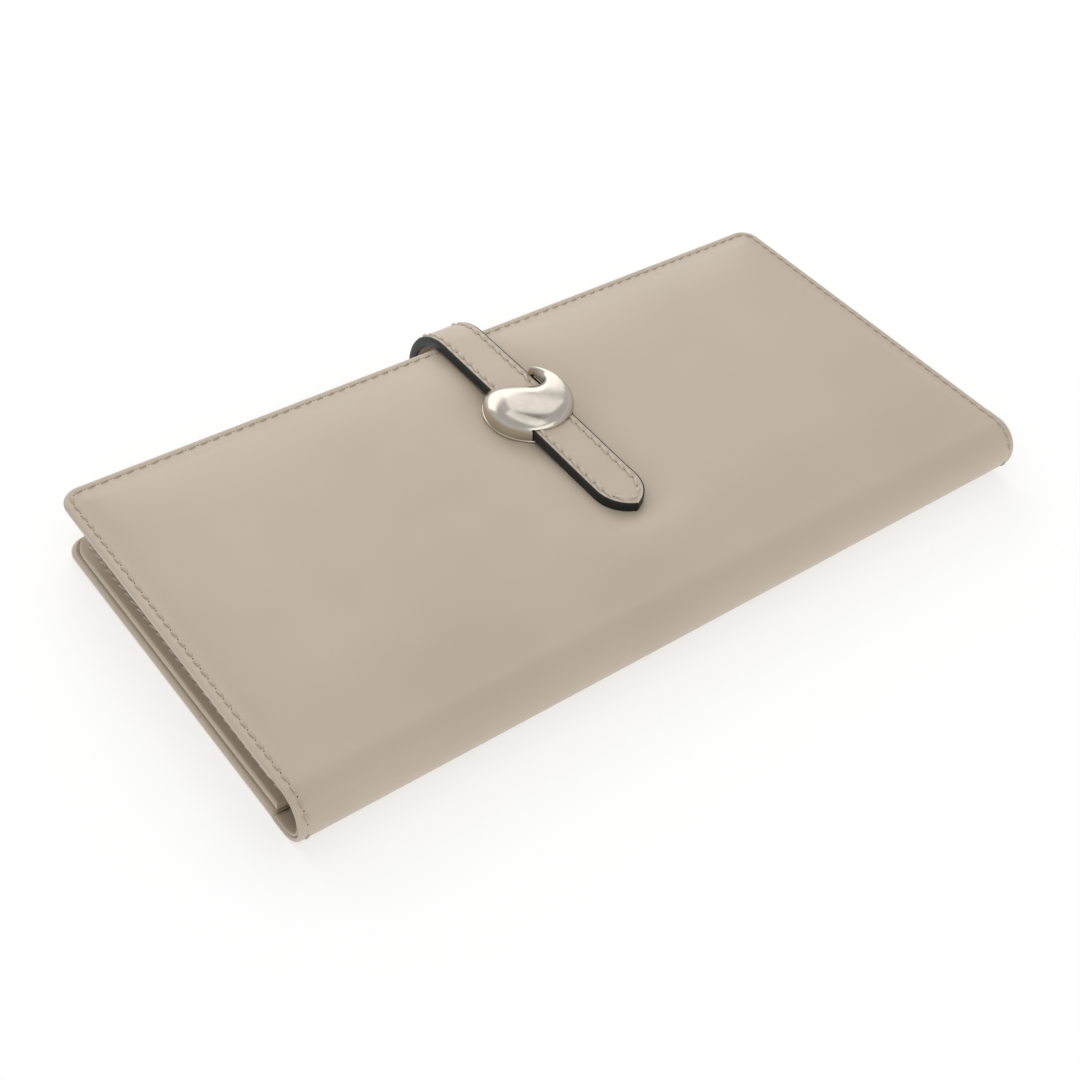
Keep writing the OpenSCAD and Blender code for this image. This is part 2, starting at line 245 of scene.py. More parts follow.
def sheet(name, half_x, v_low, v_high, corner, place, top, bottom, materials, edge_r=0.5, low_free=True,
          v_marks=None):
    """A closed sheet with rounded edges. top and bottom give heights at (x, v, distance from the edge)."""
    v = v_low + spaced(v_high - v_low, SHEET_STEP, start_fine=low_free) if v_marks is None else v_marks
    a = spaced(2 * half_x, SHEET_STEP) / half_x - 1
    cv = v_high - corner
    turned = half_x - corner + np.sqrt(np.maximum(corner ** 2 - np.maximum(v - cv, 0) ** 2, 0))
    half_w = np.where(v > cv, turned, half_x)
    x_grid, v_grid = half_w[:, None] * a[None, :], np.repeat(v[:, None], len(a), axis=1)
    d = edge_distance(x_grid, v_grid, half_x, v_low, v_high, corner, low_free)
    high, low = top(x_grid, v_grid, d), bottom(x_grid, v_grid, d)
    fullness = np.sqrt(1 - (1 - np.minimum(d / edge_r, 1)) ** 2)
    middle = (high + low) / 2
    upper = place(x_grid, v_grid, middle + (high - middle) * fullness)
    lower = place(x_grid, v_grid, middle + (low - middle) * fullness)
    rows, columns = x_grid.shape
    points = np.concatenate([upper.reshape(-1, 3), lower.reshape(-1, 3)])
    faces = []
    below = rows * columns  # from a point of the top to the one under it
    for r in range(rows - 1):
        for c in range(columns - 1):
            i = r * columns + c
            quad = [i, i + 1, i + 1 + columns, i + columns]
            faces += [quad, [q + below for q in quad[::-1]]]
    if not low_free:
        faces += [[c + 1, c, c + below, c + 1 + below] for c in range(columns - 1)]
    return build(name, points, faces, materials)


# ---- materials
WAVE_SCALE = 0.314  # a wave node of this scale has bands of one unit


class Nodes:
    """A short way to write a material's node tree."""

    def __init__(self, name, roughness, metallic=0.0, ior=1.45, **sockets):
        self.material = bpy.data.materials.new(name)
        self.material.use_nodes = True
        self.tree = self.material.node_tree
        self.shader = self.tree.nodes["Principled BSDF"]
        self.put("Roughness", roughness)
        self.put("Metallic", metallic)
        self.put("IOR", ior)
        for key, value in sockets.items():
            self.put(key.replace("_", " "), value)
        self.place = self.tree.nodes.new("ShaderNodeTexCoord").outputs["Object"]

    def put(self, socket, value):
        self.shader.inputs[socket].default_value = value

    def link(self, a, b):
        self.tree.links.new(a, b)

    def noise(self, size_mm, detail=2.0, rough=0.5, stretch=(1, 1, 1)):
        """Noise with features of about size_mm, from 0 to 1."""
        mapping = self.tree.nodes.new("ShaderNodeMapping")
        mapping.inputs["Scale"].default_value = stretch
        node = self.tree.nodes.new("ShaderNodeTexNoise")
        node.inputs["Scale"].default_value = 1 / (size_mm * MM)
        node.inputs["Detail"].default_value = detail
        node.inputs["Roughness"].default_value = rough
        self.link(self.place, mapping.inputs["Vector"])
        self.link(mapping.outputs["Vector"], node.inputs["Vector"])
        return node.outputs["Fac"]

    def cells(self, size_mm):
        """Distance to the edges of cells of about size_mm."""
        node = self.tree.nodes.new("ShaderNodeTexVoronoi")
        node.feature = "DISTANCE_TO_EDGE"
        node.inputs["Scale"].default_value = 1 / (size_mm * MM)
        self.link(self.place, node.inputs["Vector"])
        return node.outputs["Distance"]

    def wave(self, size_mm, axis, distortion):
        """Bands of size_mm across an axis."""
        node = self.tree.nodes.new("ShaderNodeTexWave")
        node.bands_direction = axis
        node.inputs["Scale"].default_value = WAVE_SCALE / (size_mm * MM)
        node.inputs["Distortion"].default_value = distortion
        self.link(self.place, node.inputs["Vector"])
        return node.outputs["Fac"]

    def maximum(self, a, b):
        node = self.tree.nodes.new("ShaderNodeMath")
        node.operation = "MAXIMUM"
        self.link(a, node.inputs[0])
        self.link(b, node.inputs[1])
        return node.outputs[0]

    def ramp(self, factor, stops):
        """Colours or greys between stops of (position, value)."""
        node = self.tree.nodes.new("ShaderNodeValToRGB")
        elements = node.color_ramp.elements
        while len(elements) < len(stops):
            elements.new(0.5)
        for element, (position, value) in zip(elements, stops):
            element.position = position
            element.color = (*value, 1) if isinstance(value, tuple) else (value, value, value, 1)
        self.link(factor, node.inputs["Fac"])
        return node.outputs["Color"]

    def blend_colour(self, factor, a, b):
        """Colour a where the factor is 0, b where it is 1."""
        node = self.tree.nodes.new("ShaderNodeMix")
        node.data_type = "RGBA"
        self.link(factor, node.inputs["Factor"])
        for socket, value in zip(node.inputs[6:8], (a, b)):  # the node's two colour sockets
            socket.default_value = (*value, 1)
        return node.outputs[2]

    def colour(self, output):
        self.link(output, self.shader.inputs["Base Color"])

    def roughness(self, factor, low, high):
        """Roughness from low to high over the middle of the factor's range."""
        self.link(self.ramp(factor, [(0.3, low), (0.7, high)]), self.shader.inputs["Roughness"])

    def bump(self, height, depth_mm, strength=1.0):
        """Adds a relief to those that the material already has."""
        node = self.tree.nodes.new("ShaderNodeBump")
        node.inputs["Distance"].default_value = depth_mm * MM
        node.inputs["Strength"].default_value = strength
        self.link(height, node.inputs["Height"])
        if self.shader.inputs["Normal"].is_linked:
            self.link(self.shader.inputs["Normal"].links[0].from_socket, node.inputs["Normal"])
        self.link(node.outputs["Normal"], self.shader.inputs["Normal"])


def srgb(red, green, blue):
    """A colour given as 0 to 255 on a screen."""
    return tuple(((c / 255 + 0.055) / 1.055) ** 2.4 for c in (red, green, blue))


def leather(name, base, grain=1.0, gloss=0.42):
    """Smooth finished calf: almost even colour, a satin surface, very fine grain and slight unevenness."""
    n = Nodes(name, gloss, ior=1.45, Sheen_Weight=0.08, Sheen_Roughness=0.5, Coat_Weight=0.08,
              Coat_Roughness=0.3)
    dark = tuple(c * 0.95 for c in base)
    light = tuple(c * 1.03 for c in base)
    n.colour(n.ramp(n.noise(38, 3, 0.5), [(0.3, dark), (0.5, base), (0.7, light)]))
    n.roughness(n.noise(2.2, 4), gloss - 0.04, gloss + 0.06)
    n.bump(n.cells(0.38), 0.014 * grain, 0.5)
    n.bump(n.noise(0.2, 3, 0.6), 0.009 * grain, 0.5)
    n.bump(n.noise(7, 2, 0.5), 0.10 * grain, 0.25)
    return n.material


def cloth(name, base, thread_mm=0.3):
    """Plain woven lining."""
    n = Nodes(name, 0.85, ior=1.4, Sheen_Weight=0.3, Sheen_Roughness=0.6)
    weave = n.maximum(n.wave(thread_mm, "X", 0.3), n.wave(thread_mm, "Y", 0.3))
    # darker where the weave dips, in the gaps between the threads: painted shade
    n.colour(n.blend_colour(n.ramp(weave, [(0.2, 0.0), (0.9, 1.0)]), tuple(c * 0.7 for c in base), base))
    n.bump(weave, 0.08, 0.7)
    n.bump(n.noise(2.5, 3), 0.1, 0.3)
    return n.material


def thread(name, base):
    """Waxed thread with its twist."""
    n = Nodes(name, 0.55, ior=1.45, Sheen_Weight=0.2)
    twist = n.noise(0.16, 2, 0.5, (1, 2.4, 1))
    n.colour(n.blend_colour(n.ramp(twist, [(0.35, 0.0), (0.65, 1.0)]), tuple(c * 0.8 for c in base), base))
    n.bump(twist, 0.05, 0.8)
    return n.material


def edge_paint(name, base):
    """Painted leather edge: nearly black, satin, with slight waves from the brush."""
    n = Nodes(name, 0.42, ior=1.42)
    n.colour(n.ramp(n.noise(2.0, 3), [(0.3, tuple(c * 0.7 for c in base)), (0.7, base)]))
    n.roughness(n.noise(0.8, 3), 0.36, 0.5)
    n.bump(n.noise(0.7, 3), 0.05, 0.5)
    return n.material


def metal(name, base, rough, tarnish=0.93, scratch=1.0):
    """Plated metal with faint brushing and a little tarnish."""
    n = Nodes(name, rough, metallic=1.0)
    patch = n.noise(4.5, 4, 0.6)
    n.colour(n.ramp(patch, [(0.35, tuple(c * tarnish for c in base)), (0.65, base)]))
    n.roughness(n.noise(1.4, 4, 0.6), rough - 0.04, rough + 0.05)
    n.bump(n.noise(0.12, 2, 0.5, (0.15, 1, 1)), 0.003 * scratch, 0.5)
    return n.material


def plain_fibre(name, base, size_mm, depth_mm):
    """Board, foam and other hidden sheet material."""
    n = Nodes(name, 0.9)
    n.colour(n.ramp(n.noise(size_mm, 4, 0.65), [(0.3, tuple(c * 0.85 for c in base)), (0.7, base)]))
    n.bump(n.noise(size_mm, 4, 0.65), depth_mm, 0.8)
    return n.material


HIDE = leather("hide_smooth", srgb(193, 178, 160))
HIDE_INNER = leather("hide_inner", srgb(186, 170, 151), grain=1.4, gloss=0.5)
THREAD = thread("thread_tonal", srgb(212, 200, 183))
HEM_THREAD = thread("thread_tonal", srgb(196, 182, 164))
# a dark disc at each needle hole: painted shade, standing for the shade inside the hole
HOLE_SHADE = plain_fibre("needle_hole_shade", srgb(82, 67, 54), 0.3, 0.02)
PAINT = edge_paint("edge_paint", srgb(20, 22, 24))
LINING = cloth("lining_weave", srgb(160, 142, 118))
TAPE = cloth("zip_tape_weave", srgb(150, 132, 110), 0.5)
KEEPER = metal("keeper_satin_nickel", srgb(206, 199, 188), 0.19)
ZIP = metal("zip_pale_gold", srgb(226, 208, 170), 0.24)
STEEL = metal("plain_steel", srgb(176, 176, 176), 0.35)
BOARD = plain_fibre("grey_board", srgb(206, 200, 188), 0.8, 0.05)
FOAM = plain_fibre("white_foam", srgb(238, 236, 230), 0.5, 0.15)


# ---- hide
CROWN = 2.5  # how far the padding lifts the front cover
CROWN_RISE = 24  # distance over which it rises from the seam
CROWN_PRESSED = 0.62  # what is left of it under the strap
PRESS_KEEPER, PRESS_STRAP = 6, 5  # how far round them the hide is pressed down
RIPPLE = 0.05
STITCH_IN = 1.8
STITCH_PITCH = 2.83
GROOVE, GROOVE_W = 0.1, 0.4
SUNK = 0.34
PATH_STEP = 0.25  # distance between the points of a seam's line
TANGENT_REACH = 0.15
# rings and sides of a stitch, and sides of the dark disc of painted shade at each needle hole
STITCH_RINGS, STITCH_SIDES, HOLE_SHADE_SIDES = 11, 8, 10
REACH_SPREAD, LEAN_SPREAD = 0.012, 2  # unevenness of the stitches: share of pitch, degrees
STRAP_LOW, STRAP_HIGH = extent("strap_tongue_face", True)
STRAP_X = (STRAP_LOW[0] + STRAP_HIGH[0]) / 2
STRAP_W = STRAP_HIGH[0] - STRAP_LOW[0]
SHELL_LOW, SHELL_HIGH = extent("keeper_shell", True)
KEEPER_R = (SHELL_HIGH[0] - SHELL_LOW[0]) / 2
KEEPER_Y = SHELL_LOW[1] + KEEPER_R
LINING_GAP, LINING_T = 0.05, 0.7
LINING_TUCK = 3  # how far the lining runs on past the fold


def smooth(t):
    t = np.clip(t, 0, 1)
    return t * t * (3 - 2 * t)


def groove(d, depth=GROOVE):
    """The line that the stitches press into the leather."""
    return -depth * np.exp(-((d - STITCH_IN) / GROOVE_W) ** 2)


def swelling(t):
    """Rises steeply from 0 at the seam and levels off at 1."""
    t = np.clip(t, 0, 1)
    return smooth(np.minimum(t * 6, 1)) * (1 - (1 - t) ** 3.1)


def front_top(x, s, d):
    """The padded front cover: it swells inside the stitching and is pressed flat by the keeper and strap."""
    y = s - FRONT_ARC + FOLD_Y
    rise = swelling((d - STITCH_IN - 0.2) / CROWN_RISE) * smooth((y - FOLD_Y + 5) / 24)
    reach = np.maximum(np.hypot(x - STRAP_X, y - KEEPER_Y) - KEEPER_R, 0)
    beside = np.maximum(np.abs(x - STRAP_X) - STRAP_W / 2, 0)
    beyond = np.maximum(STRAP_LOW[1] - y, 0)
    under_strap = np.exp(-(beside / PRESS_STRAP) ** 2 - (beyond / PRESS_STRAP) ** 2)
    height = CROWN * rise * (1 - np.exp(-(reach / PRESS_KEEPER) ** 2))
    height = height * (1 - (1 - CROWN_PRESSED / CROWN) * under_strap)
    ripples = RIPPLE * np.sin(x / 17 + 0.6) * np.sin(s / 13) * smooth(d / 12) * smooth((s - FRONT_ARC) / 20)
    return height + groove(d) + ripples * (1 - under_strap)


def back_top(x, s, d):
    """Under the wallet the stitches lie deeper, so that it stands flat."""
    return groove(d, depth=GROOVE + SUNK * smooth(s / BACK_ARC))


def hide_thickness(s, arc):
    """One layer round the fold, two where the edges are turned over board."""
    return SKIN_T + (COVER_T - SKIN_T) * smooth((s - arc - 2.4) / 1.5)


def section_marks(arc, end):
    """Places across a cover: even round the fold, then coarse, then fine at the open edge."""
    bend_end = arc + 4
    bend = np.concatenate([[0, 0.05, 0.15, 0.35], np.linspace(0.7, bend_end, 33)])
    return np.concatenate([bend, bend_end + spaced(end - arc - 4, 4, start_fine=False)[1:]])


def make_hide(name, place, arc, end, top, node_names, bodies, start, finish):
    piece = sheet(name, HALF_L, 0, end, CORNER_R, place, top, lambda x, s, d: -hide_thickness(s, arc),
                  [HIDE], edge_r=0.9, low_free=False, v_marks=section_marks(arc, end))
    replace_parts(piece, *node_names)
    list(bodies)
    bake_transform(piece)
    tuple(start)
    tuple(finish)
    return piece


def outline_path(half_x, v_start, v_end, corner, inset):
    """Points along a line inset from a sheet's side, far edge and other side."""
    r = corner - inset
    left, far = -half_x + inset, v_end - inset
    straight = np.arange(v_start, v_end - corner, PATH_STEP)
    turn = np.linspace(math.pi, math.pi / 2, 24)
    side = np.stack([np.full_like(straight, left), straight], -1)
    bend = np.stack([left + r + r * np.cos(turn), v_end - corner + r * np.sin(turn)], -1)
    to_middle = np.arange(left + r, 0, PATH_STEP)
    across = np.stack([to_middle, np.full_like(to_middle, far)], -1)
    half = np.concatenate([side, bend, across])
    return np.concatenate([half, (half * [-1, 1])[::-1]])


def along_path(path, distances):
    """Points and unit tangents at distances along a path."""
    steps = np.linalg.norm(np.diff(path, axis=0), axis=1)
    total = np.concatenate([[0], np.cumsum(steps)])
    point = np.stack([np.interp(distances, total, path[:, k]) for k in (0, 1)], -1)
    ahead = np.stack([np.interp(distances + TANGENT_REACH, total, path[:, k]) for k in (0, 1)], -1)
    behind = np.stack([np.interp(distances - TANGENT_REACH, total, path[:, k]) for k in (0, 1)], -1)
    tangent = ahead - behind
    return point, tangent / np.maximum(np.linalg.norm(tangent, axis=1, keepdims=True), 1e-9)


def path_length(path):
    return np.linalg.norm(np.diff(path, axis=0), axis=1).sum()


def fitted_pitch(path, pitch):
    """The pitch just over the wished one that fits a path a whole number of times."""
    return path_length(path) / int(path_length(path) / pitch)


def stitch_points(mid, run, reach, radius, height):
    """Rings of one stitch: round and proud at its middle, thinner where its ends dip into the leather."""
    across = np.array([-run[1], run[0]])
    points = []
    for t in np.linspace(-1, 1, STITCH_RINGS):
        core = mid + run * t * reach
        lift = height(core[0], core[1]) + radius * 0.62 - 2.3 * radius * abs(t) ** 5
        thick = radius * (1 - 0.3 * abs(t) ** 3)
        for k in range(STITCH_SIDES):
            angle = 2 * math.pi * k / STITCH_SIDES
            flat = core + across * math.cos(angle) * thick * 1.1
            points.append((flat[0], flat[1], lift + math.sin(angle) * thick))
    return points


def stitch_faces(base):
    """Faces of the stitch whose first point has the number base."""
    faces = []
    for r in range(STITCH_RINGS - 1):
        for k in range(STITCH_SIDES):
            a, b = base + r * STITCH_SIDES + k, base + r * STITCH_SIDES + (k + 1) % STITCH_SIDES
            faces.append([a, b, b + STITCH_SIDES, a + STITCH_SIDES])
    first = [base + k for k in range(STITCH_SIDES)]
    return faces + [first[::-1], [(STITCH_RINGS - 1) * STITCH_SIDES + k for k in first]]


def hole_shade_points(mid, ahead, radius, level):
    """A slanted dark disc of painted shade at a needle hole: its middle, a little proud, and then its rim.
    """
    across = np.array([-ahead[1], ahead[0]])
    narrow, wide = (ahead + across) * HALF, (across - ahead) * HALF
    points = [(*mid, level + 0.05)]
    for k in range(HOLE_SHADE_SIDES):
        angle = 2 * math.pi * k / HOLE_SHADE_SIDES
        flat = mid + (narrow * math.cos(angle) * 0.6 + wide * math.sin(angle) * 1.1) * radius
        points.append((*flat, level - 0.04))
    return points


def hole_shade_faces(base):
    """Faces of the dark disc of painted shade whose middle has the number base."""
    rim = [base + 1 + k for k in range(HOLE_SHADE_SIDES)]
    return [[base, a, b] for a, b in zip(rim, rim[1:] + rim[:1])] + [rim[::-1]]


def stitch_row(name, path, place, height, body, blended=None, pitch=STITCH_PITCH, radius=0.29, slant=13,
               reach_share=0.45, hole_shade_r=0.17, yarn=THREAD):
    """Separate stitches along a path, each dipping into a needle hole at either end, and a dark disc of
    painted shade at each needle hole between them.
    """
    random.seed(name)
    pitch = fitted_pitch(path, pitch)
    stitches, stitch_sides, hole_shades, hole_shade_sides = [], [], [], []
    for i in range(round(path_length(path) / pitch)):
        reach = pitch * (reach_share + random.uniform(-REACH_SPREAD, REACH_SPREAD))
        mid, tangent = along_path(path, np.array([(i + 0.5) * pitch]))
        lean = math.radians(slant + random.uniform(-LEAN_SPREAD, LEAN_SPREAD))
        turn = np.array([[math.cos(lean), math.sin(lean)], [-math.sin(lean), math.cos(lean)]])
        stitch_sides += stitch_faces(len(stitches))
        stitches += stitch_points(mid[0], tangent[0] @ turn, reach, radius, height)
        hole, tangent = along_path(path, np.array([i * pitch]))
        hole_shade_sides += hole_shade_faces(len(hole_shades))
        hole_shades += hole_shade_points(hole[0], tangent[0], hole_shade_r, height(hole[0][0], hole[0][1]))
    # the stitches, then a dark disc of painted shade at each needle hole
    for label, drawn, sides, material in (("stitches", stitches, stitch_sides, yarn),
                                          ("hole_shades", hole_shades, hole_shade_sides, HOLE_SHADE)):
        flat = np.array(drawn)
        piece = build(f"{name}_{label}", place(flat[:, 0], flat[:, 1], flat[:, 2]), sides, [material])
        if blended:
            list(blended[0])
            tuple(blended[1])
            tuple(blended[2])
            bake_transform(piece)
        else:
            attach(piece, body)


def cover_stitches(name, place, end, sunk, bodies, start, finish):
    """The seam round a cover: short stitches between wide dark discs of painted shade, one at each needle
    hole.
    """
    path = outline_path(HALF_L, STITCH_PITCH / 2, end, CORNER_R, STITCH_IN)
    stitch_row(name, path, place, lambda x, s: -GROOVE - sunk * float(smooth(s / BACK_ARC)), None,
               (bodies, start, finish), radius=0.25, slant=9, reach_share=0.4, hole_shade_r=0.44, yarn=HEM_THREAD)


def spine_lining(name, place, arc, bodies, start, finish):
    """Thin leather round the inside of the fold, its end tucked under the cover's lining."""
    high = -SKIN_T - LINING_GAP
    length = arc + LINING_TUCK
    piece = sheet(name, HALF_L - 0.3, 0, length, 0.4, place, lambda x, s, d: np.full_like(x, high),
                  lambda x, s, d: np.full_like(x, high - LINING_T), [HIDE_INNER], edge_r=0.35,
                  low_free=False, v_marks=np.linspace(0, length, 30))
    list(bodies)
    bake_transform(piece)
    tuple(start)
    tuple(finish)
    return piece


# ---- flat pockets and linings
RIM_SLOPE = 0.8
PANEL_CORNER = CORNER_R + 1.5
PANEL_SEAM_IN = 2.2
ZIP_SLOT_HALF = 4.5
SEAM_STEP = 0.5  # distance between the points of a pocket's seams


def pocket(name, node, front, material, slot, edge_r, corner=CORNER_R, rim=None):
    """A flat leather or cloth panel with rounded edges in the place of a CAD node.

    A rim, given as its width and the thickness left inside it, leaves the panel's under side hollow.
    """
    low, high = extent(node, front)

    def top(x, y, d):
        return np.full_like(x, high[2])

    def bottom(x, y, d):
        if rim is None:
            return np.full_like(x, low[2])
        sides = np.minimum(high[0] - np.abs(x), high[1] - y)
        return low[2] + (high[2] - rim[1] - low[2]) * smooth((sides - rim[0]) / RIM_SLOPE)

    piece = sheet(name, high[0], low[1], high[1], corner, on_front if front else on_back, top, bottom,
                  [material], edge_r=edge_r)
    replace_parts(piece, node)
    return piece, low, high


def plain_pocket(name, node, front, material, slot, edge_r, **options):
    """A pocket that rides on its cover; gives its lowest and highest corner."""
    piece, low, high = pocket(name, node, front, material, slot, edge_r, **options)
    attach(piece, "front_cover" if front else "back_cover")
    return low, high


def cut(piece, tool):
    """Cuts a tool shape out of a piece."""
    modifier = piece.modifiers.new("cut", "BOOLEAN")
    modifier.operation = "DIFFERENCE"
    modifier.solver = "EXACT"
    modifier.object = tool
    apply_modifiers(piece)
    bpy.data.objects.remove(tool)


def prism(name, outline, z_low, z_high, place, materials=()):
    """An upright prism over an outline of (x, y) points."""
    flat = np.array(outline)
    count = len(flat)
    points = np.concatenate([place(flat[:, 0], flat[:, 1], np.full(count, z)) for z in (z_low, z_high)])
    faces = [list(range(count))[::-1], list(range(count, 2 * count))]
    faces += [[i, (i + 1) % count, count + (i + 1) % count, count + i] for i in range(count)]
    return build(name, points, faces, materials)


def stadium(half_x, y, half_w):
    """The outline of a slot with round ends along X."""
    turn = np.linspace(-math.pi / 2, math.pi / 2, 17)
    right = np.stack([half_x + half_w * np.cos(turn), y + half_w * np.sin(turn)], -1)
    return np.concatenate([right, (right * [-1, 1])[::-1]])


def card_panels():
    """Four stepped card panels, each stitched along its mouth, and the seam down their middle."""
    for i in range(1, 5):
        node = f"card_panel_{i}"
        low, high = plain_pocket(node + "_leather", node, True, HIDE_INNER, "hide", 0.22)
        mouth = [[x, low[1] + 1.6] for x in np.arange(low[0] + 4, high[0] - 4, SEAM_STEP)]
        stitch_row(f"{node}_mouth", np.array(mouth), on_front_inside, lambda x, y, z=low[2]: -z,
                   "front_cover", pitch=2.6, radius=0.17)
    low, high = extent("card_panel_4", True)
    column = [[0, y] for y in np.arange(low[1] + 2.5, high[1] - 3, SEAM_STEP)]
    stitch_row("card_panel_centre", np.array(column), on_front_inside, lambda x, y: -low[2],
               "front_cover", pitch=2.6, radius=0.19)


def on_front_inside(x, y, z):
    """on_front for drawings on the inside of the front cover, where height is measured inwards."""
    return on_front(x, y, -np.asarray(z))


def note_panel():
    """The panel over the back cover's pocket, stitched round its edge and round the slot of its zip."""
    piece, low, high = pocket("note_panel_leather", "note_panel", False, HIDE_INNER, "hide", 0.45,
                              rim=(5, 0.6), corner=PANEL_CORNER)
    zip_y = (box("zip_tape_front")[0][1] + box("zip_tape_rear")[1][1]) / 2
    half_x = box("zip_stops")[1][0]
    cut(piece, prism("slot_tool", stadium(half_x, zip_y, ZIP_SLOT_HALF), low[2] - 1, high[2] + 1, on_back))
    shade(piece, 40)
    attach(piece, "back_cover")
    path = outline_path(high[0], low[1] + 2, high[1], PANEL_CORNER, PANEL_SEAM_IN)
    stitch_row("note_panel_seam", path, on_back, lambda x, y: high[2], "back_cover", pitch=2.6, radius=0.2)
    ring = stadium(half_x, zip_y, ZIP_SLOT_HALF + 1.6)
    closed = np.concatenate([ring, ring[:1]])
    stitch_row("zip_slot_seam", closed, on_back, lambda x, y: high[2], "back_cover", pitch=2.4, radius=0.17)


# ---- strap
STRAP_T = STRAP_HIGH[2] - extent("strap_tongue_backing", True)[0][2]
BEND_Y = box("strap_arch_face")[1][1] - STRAP_T / 2  # middle of the leather at its furthest reach
ROOT_Z = box("strap_root")[0][2] + STRAP_T / 2
ROOT_OUT = 0.1  # the strap starts this far outside the back cover
LOWER_R = (BEND_Y - joint_place("strap_lower_bend")[0]) / (1 - HALF)
BEND_Z = ROOT_Z + LOWER_R
TONGUE_Z = STRAP_HIGH[2] - STRAP_T / 2  # over the hide of the front cover
UPPER_R = ((FOLD_R + TONGUE_Z + (BEND_Y - FOLD_Y) * math.sin(SLOPE) - (BEND_Z - FOLD_R) * math.cos(SLOPE))
           / (1 + math.sin(SLOPE)))
LOWER_MID = np.array([BEND_Y - LOWER_R, BEND_Z])
UPPER_MID = np.array([BEND_Y - UPPER_R, BEND_Z])
RUN_ROOT = LOWER_MID[0] - EDGE_Y - ROOT_OUT
RUN_LOWER = LOWER_R * math.pi / 2
RUN_UPPER = UPPER_R * (math.pi / 2 + SLOPE)
RUN_TONGUE = STRAP_HIGH[1] - STRAP_LOW[1]
S_BEND = RUN_ROOT + RUN_LOWER
S_TOP = S_BEND + RUN_UPPER
S_TIP = S_TOP + RUN_TONGUE
TIP_L = 7.5
TOP_POINT = UPPER_MID + UPPER_R * OUT
STRAP_STEP = 0.4
STRAP_EDGE_R = 0.42
SETTLE_START = S_TOP + (STRAP_HIGH[1] - KEEPER_Y + 6)  # the strap is clear of the keeper here
SETTLE_DEPTH, SETTLE_RUN = 0.42, 24


def strap_line(s):
    """Middle of the strap and the direction out of its face at a distance s from the back cover."""
    s = np.asarray(s, float)
    root = np.stack([EDGE_Y + ROOT_OUT + s, np.full_like(s, ROOT_Z)], -1)
    a = -math.pi / 2 + (s - RUN_ROOT) / LOWER_R
    b = (s - S_BEND) / UPPER_R
    tongue = TOP_POINT - (s - S_TOP)[..., None] * ALONG
    pick = [(s < RUN_ROOT)[..., None], (s < S_BEND)[..., None], (s < S_TOP)[..., None]]
    centre = np.select(pick, [root, LOWER_MID + LOWER_R * ray(a), UPPER_MID + UPPER_R * ray(b)], tongue)
    normal = np.select(pick, [np.broadcast_to([0.0, -1.0], centre.shape), ray(a), ray(b)],
                       np.broadcast_to(OUT, centre.shape))
    return centre, normal


def strap_settle(s):
    """The free end comes down on to the cover in front of the keeper."""
    return -SETTLE_DEPTH * smooth((s - SETTLE_START) / SETTLE_RUN)


def strap_at(x, s, h):
    """x across the strap, s along it from the back cover and h out of its face."""
    x, s, h = spread(x, s, h)
    centre, normal = strap_line(s)
    return joined(x + STRAP_X, centre + (h + strap_settle(s))[..., None] * normal)


def strap_half_width(s, inset=0.0):
    """Half the width at s, which closes in an ogive at the tip."""
    half = STRAP_W / 2
    arc = (TIP_L ** 2 + half ** 2) / (2 * half)
    past = np.maximum(s - (S_TIP - TIP_L), 0)
    closing = np.sqrt(np.maximum((arc - inset) ** 2 - past ** 2, 0)) - (arc - half)
    return np.maximum(np.where(past > 0, closing, half - inset), 0.0)


STRAP_INSET = 1.5
STRAP_PITCH = 2.75


def strap_loop():
    """The line of stitches down one side of the strap, round its tip and back, as (x, s)."""
    tip_start = S_TIP - TIP_L
    edge = np.concatenate([np.arange(S_BEND, tip_start, PATH_STEP), np.linspace(tip_start, S_TIP - 1.9, 60)])
    half = strap_half_width(edge, STRAP_INSET)
    keep = half > 0.35
    right = np.stack([half[keep], edge[keep]], -1)
    return np.concatenate([right, (right * [-1, 1])[::-1]])


def pressed_in(x, s):
    """How deep the strap's stitches pull its face in, deepest at their holes."""
    off = (strap_half_width(s) - np.abs(x) - STRAP_INSET) / 0.6
    phase = 2 * math.pi * (s - S_BEND) / LOOP_PITCH
    return (0.11 + 0.13 * np.cos(phase)) * np.exp(-off ** 2)


LOOP_PITCH = fitted_pitch(strap_loop(), STRAP_PITCH)


def strap_section(s):
    """(x, h, painted) round the strap's section, from the middle of its back."""
    half_w = max(float(strap_half_width(s)), 0.28)
    t = STRAP_T / 2
    r = min(STRAP_EDGE_R, half_w * 0.6)
    inner = half_w - r
    face = np.concatenate([[0, 0.3, 0.5], np.linspace(0.62, 0.97, 14), [1]])
    right = []
    for share in face:
        x = inner * share
        right.append((x, t + 0.05 * (1 - share ** 2) - float(pressed_in(x, s)), False))
    for a in np.linspace(math.pi / 2, -math.pi / 2, 11):
        bulge = 0.06 * math.cos(a)
        right.append((inner + (r + bulge) * math.cos(a), (t - r) * np.sign(a) + r * math.sin(a),
                      abs(a) < math.radians(78)))
    for share in (1, 0.9, 0.6, 0.3, 0):
        right.append((inner * share, -t, False))
    left = [(-x, h, p) for x, h, p in right[::-1]][1:-1]
    return right + left


